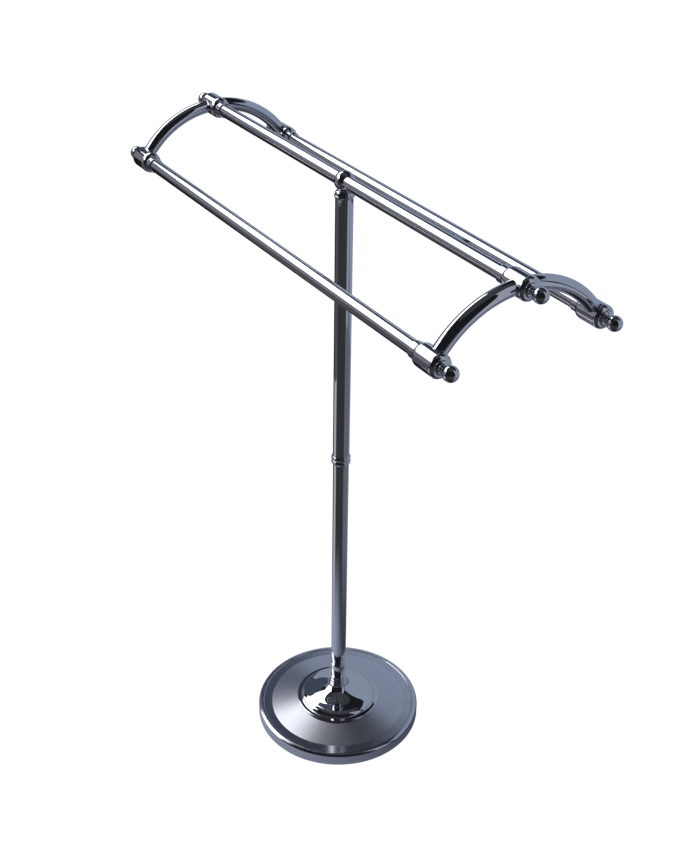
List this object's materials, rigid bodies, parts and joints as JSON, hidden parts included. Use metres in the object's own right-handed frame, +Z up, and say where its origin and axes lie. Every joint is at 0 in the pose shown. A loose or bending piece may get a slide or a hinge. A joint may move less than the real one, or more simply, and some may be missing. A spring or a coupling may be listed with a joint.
{
  "type": "free-standing valet stand",
  "caption": "Free-standing chrome valet and towel stand: weighted round base, slender post and a swivelling, tilting rack of parallel bars with ball finials.",
  "frame": {"origin": "on the floor, at the centre of the base", "axes": "+Z up along the post, +X along the bars, the front bar at -Y"},
  "size_m": [0.636, 0.2044, 0.7297],
  "materials": {
    "polished_chrome": "mirror-polished chrome plate",
    "satin_chrome": "soft, slightly satin chrome plate",
    "zinc_steel": "bright zinc-plated steel",
    "iron_weight": "as-cast iron, black dipped",
    "rubber_pad": "matt black rubber"
  },
  "bodies": {
    "stand": {"floor_pad": "rubber_pad", "base_weight": "iron_weight", "base_cover": "satin_chrome", "base_bolt": "zinc_steel", "base_washer": "zinc_steel", "bell_flange": "polished_chrome", "lower_socket": "polished_chrome", "lower_tube": "polished_chrome", "lower_tube_plug": "zinc_steel", "joint_ring": "polished_chrome", "joint_stud": "zinc_steel", "upper_tube_plug": "zinc_steel", "upper_tube": "polished_chrome", "top_collar": "polished_chrome"},
    "head": {"hub": "polished_chrome", "hub_grub_screw": "zinc_steel", "stem_washer": "zinc_steel", "stem_screw": "zinc_steel"},
    "rack": {"centre_bar": "polished_chrome", "front_bar": "polished_chrome", "rear_bar": "polished_chrome", "centre_bar_plugs": "zinc_steel", "front_bar_plugs": "zinc_steel", "rear_bar_plugs": "zinc_steel", "centre_left_collar": "polished_chrome", "centre_right_collar": "polished_chrome", "front_left_collar": "polished_chrome", "front_right_collar": "polished_chrome", "rear_left_collar": "polished_chrome", "rear_right_collar": "polished_chrome", "centre_left_ferrule": "polished_chrome", "centre_right_ferrule": "polished_chrome", "front_left_ferrule": "polished_chrome", "front_right_ferrule": "polished_chrome", "rear_left_ferrule": "polished_chrome", "rear_right_ferrule": "polished_chrome", "centre_left_finial": "polished_chrome", "centre_right_finial": "polished_chrome", "front_left_finial": "polished_chrome", "front_right_finial": "polished_chrome", "rear_left_finial": "polished_chrome", "rear_right_finial": "polished_chrome", "front_left_arm": "polished_chrome", "front_right_arm": "polished_chrome", "rear_left_arm": "polished_chrome", "rear_right_arm": "polished_chrome", "front_left_arm_pins": "zinc_steel", "front_right_arm_pins": "zinc_steel", "rear_left_arm_pins": "zinc_steel", "rear_right_arm_pins": "zinc_steel"}
  },
  "joints": [
    {"name": "head_swivel", "type": "hinge", "parent": "stand", "child": "head", "pos_m": [0, 0, 0.718], "axis": [0, 0, 1], "continuous": true},
    {"name": "rack_tilt", "type": "hinge", "parent": "head", "child": "rack", "pos_m": [0, 0, 0.718], "axis": [1, 0, 0], "range_deg": [-50, 50]}
  ]
}
